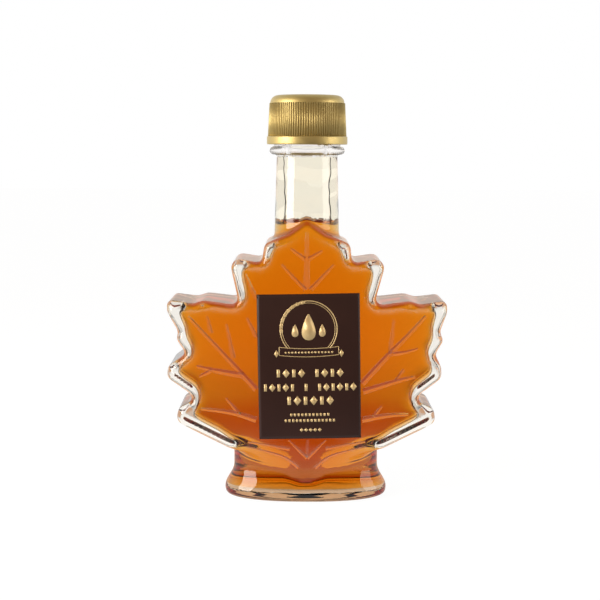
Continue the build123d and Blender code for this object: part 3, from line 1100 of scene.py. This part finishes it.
class FoilPrint:
    """Shapes of the label's print, drawn flat around the label's centre."""

    def __init__(self):
        self.growth = GrowthTree("foil_print", {
            "Ring Radius": RING_RADIUS,
            "Line Width": FOIL_LINE,
            "Foil Thickness": FOIL_THICKNESS,
        })
        self.sizes = self.growth.inputs
        self.shapes = []

    def dot(self, radius, sides=12):
        """Flat disc; with four sides it is a lozenge."""
        thickness = self.sizes["Foil Thickness"]
        return self.growth.get(
            "GeometryNodeMeshCylinder", Vertices=sides, Radius=radius, Depth=thickness
        )

    def bar(self, width, height):
        """Flat upright bar."""
        size = self.growth.vector(width, height, self.sizes["Foil Thickness"])
        return self.growth.get("GeometryNodeMeshCube", Size=size)

    def put(self, shape, x, y, turn=0.0, stretch=(1.0, 1.0, 1.0)):
        """Places one shape in the drawing."""
        moved = self.growth.get(
            "GeometryNodeTransform", Geometry=shape, Translation=(x, y, 0.0), Rotation=(0.0, 0.0, turn),
            Scale=stretch,
        )
        self.shapes.append(moved)

    def row(self, shape, count, spacing, x, y):
        """The same shape in a straight row with its middle at (x, y)."""
        line = self.growth.get(
            "GeometryNodeMeshLine", Count=count, Start_Location=(x - spacing * (count - 1) / 2, y, 0.0),
            Offset=(spacing, 0.0, 0.0),
        )
        copies = self.growth.get("GeometryNodeInstanceOnPoints", Points=line, Instance=shape)
        self.shapes.append(copies)

    def garland(self, shape, count, radius, start, step, centre):
        """The same shape along an arc, each copy turned with it. Angles are in degrees."""
        growth = self.growth
        line = growth.get("GeometryNodeMeshLine", Count=count)
        index = growth.get("GeometryNodeInputIndex")
        angle = growth.math("ADD", growth.math("MULTIPLY", index, radians(step)), radians(start))
        x = growth.math("ADD", growth.math("MULTIPLY", growth.math("COSINE", angle), radius), centre[0])
        y = growth.math("ADD", growth.math("MULTIPLY", growth.math("SINE", angle), radius), centre[1])
        placed = growth.get("GeometryNodeSetPosition", Geometry=line, Position=growth.vector(x, y, 0.0))
        turn = growth.get("FunctionNodeEulerToRotation", Euler=growth.vector(0.0, 0.0, angle))
        copies = growth.get("GeometryNodeInstanceOnPoints", Points=placed, Instance=shape, Rotation=turn)
        self.shapes.append(copies)

    def stroke(self, curve, width):
        """Flat line along a curve."""
        upright = self.growth.get("GeometryNodeSetCurveNormal", {"mode": "Z_UP"}, Curve=curve)
        section = self.growth.get(
            "GeometryNodeCurvePrimitiveQuadrilateral", Width=width, Height=self.sizes["Foil Thickness"]
        )
        return self.growth.get(
            "GeometryNodeCurveToMesh", Curve=upright, Profile_Curve=section, Fill_Caps=True
        )

    def ring(self, radius, width, centre, opening):
        """Ring that is open at its bottom by an angle in degrees."""
        arc_line = self.growth.get(
            "GeometryNodeCurveArc", Resolution=96, Radius=radius, Start_Angle=radians(opening / 2 - 90),
            Sweep_Angle=radians(360 - opening),
        )
        self.put(self.stroke(arc_line, width), *centre)

    def bow(self, half_width, y, sag, width):
        """Line that sags in its middle."""
        curve = self.growth.get(
            "GeometryNodeCurveQuadraticBezier", Resolution=24, Start=(-half_width, y, 0.0),
            Middle=(0.0, y - 2 * sag, 0.0), End=(half_width, y, 0.0),
        )
        self.put(self.stroke(curve, width), 0.0, 0.0)

    def drop(self, height, centre):
        """Drop of syrup: a disc drawn out to a point at its top."""
        growth = self.growth
        x, y, z = growth.place()
        upward = growth.math("DIVIDE", growth.math("ADD", y, 1.0), 2.0)
        narrow = growth.math("SUBTRACT", 1.0, growth.math("MULTIPLY", upward, 0.75))
        outline = growth.vector(growth.math("MULTIPLY", x, narrow), growth.math("MULTIPLY", y, 1.35), z)
        pulled = growth.get("GeometryNodeSetPosition", Geometry=self.dot(1.0, 32), Position=outline)
        size = height / 2.7
        self.put(pulled, *centre, stretch=(size, size, 1.0))

    def finish(self, material):
        """Lays the drawing on the label and makes it one mesh."""
        growth = self.growth
        joined = growth.add("GeometryNodeJoinGeometry")
        for shape in self.shapes:
            growth.tree.links.new(shape, joined.inputs[0])
        real = growth.get("GeometryNodeRealizeInstances", Geometry=joined.outputs[0])
        turned = growth.get(
            "GeometryNodeTransform", Geometry=real, Translation=(*LABEL_CENTRE, 0.0),
            Rotation=(0.0, 0.0, LABEL_TILT),
        )
        growth.finish(growth.laid_on_face(turned, FOIL_LIFT), material)
        return growth.grow("label_foil")


def make_foil(material):
    """Plain ornament in gold foil: a ring with three drops, a ribbon, and rows that spell nothing."""
    foil = FoilPrint()
    ring_radius, line = foil.sizes["Ring Radius"], foil.sizes["Line Width"]
    centre = RING_CENTRE
    foil.ring(ring_radius, line, centre, 96)
    foil.ring(foil.growth.math("SUBTRACT", ring_radius, 0.65), 0.16, centre, 92)
    foil.drop(8.4, (0.0, centre[1] + 0.7))
    for side in (-1, 1):
        foil.drop(4.0, (side * 4.3, centre[1] - 0.4))
    lozenge = foil.growth.get("GeometryNodeTransform", Geometry=foil.dot(1.0, 4), Scale=(0.6, 1.0, 1.0))
    foil.garland(lozenge, 8, foil.growth.math("ADD", ring_radius, -0.3), 102, 11.5, centre)
    for height in RIBBON_HEIGHTS:
        foil.bow(RIBBON_HALF, height, RIBBON_SAG, 0.2)
    foil.row(foil.dot(0.34), 15, 1.05, 0.0, 4.75)
    for side in (-1, 1):
        foil.put(foil.bar(0.2, 2.8), side * RIBBON_HALF, 5.2)
        foil.put(foil.dot(0.95, 4), side * (RIBBON_HALF + 0.9), 4.4, stretch=(0.75, 1.3, 1.0))
    for y, height, pitch, groups in WORD_ROWS:
        total = sum(groups) + len(groups) - 1
        place = -(total - 1) / 2
        for count in groups:
            for k in range(count):
                x = (place + k) * pitch
                if k % 2:
                    foil.put(foil.dot(height / 2, 4), x, y, stretch=(0.78, 1.0, 1.0))
                else:
                    foil.put(foil.bar(pitch * 0.42, height * 0.86), x, y)
            place += count + 1
    for y, count in SMALL_ROWS:
        foil.row(foil.bar(0.66, 0.9), count, 1.18, 0.0, y)
    foil.row(foil.dot(0.62, 4), 5, 1.45, 0.2, LAST_ROW_HEIGHT)
    return foil.finish(material)


bpy.context.scene.view_settings.view_transform = "Standard"
make_camera()
make_world()
make_floor()
for name, place, power in LAMPS:
    make_lamp(name, place, power)

keep(make_flask(), "bottle")
keep(make_syrup(), "syrup")
keep(make_veins(clear_glass("vein_glass", BODY_TINT)), None)
gold = gold_lacquer()
keep(make_cap(gold), "cap")
keep(make_cap_ribs(gold), None)
keep(make_label(label_stock()), "label")
keep(make_foil(gold_foil()), None)
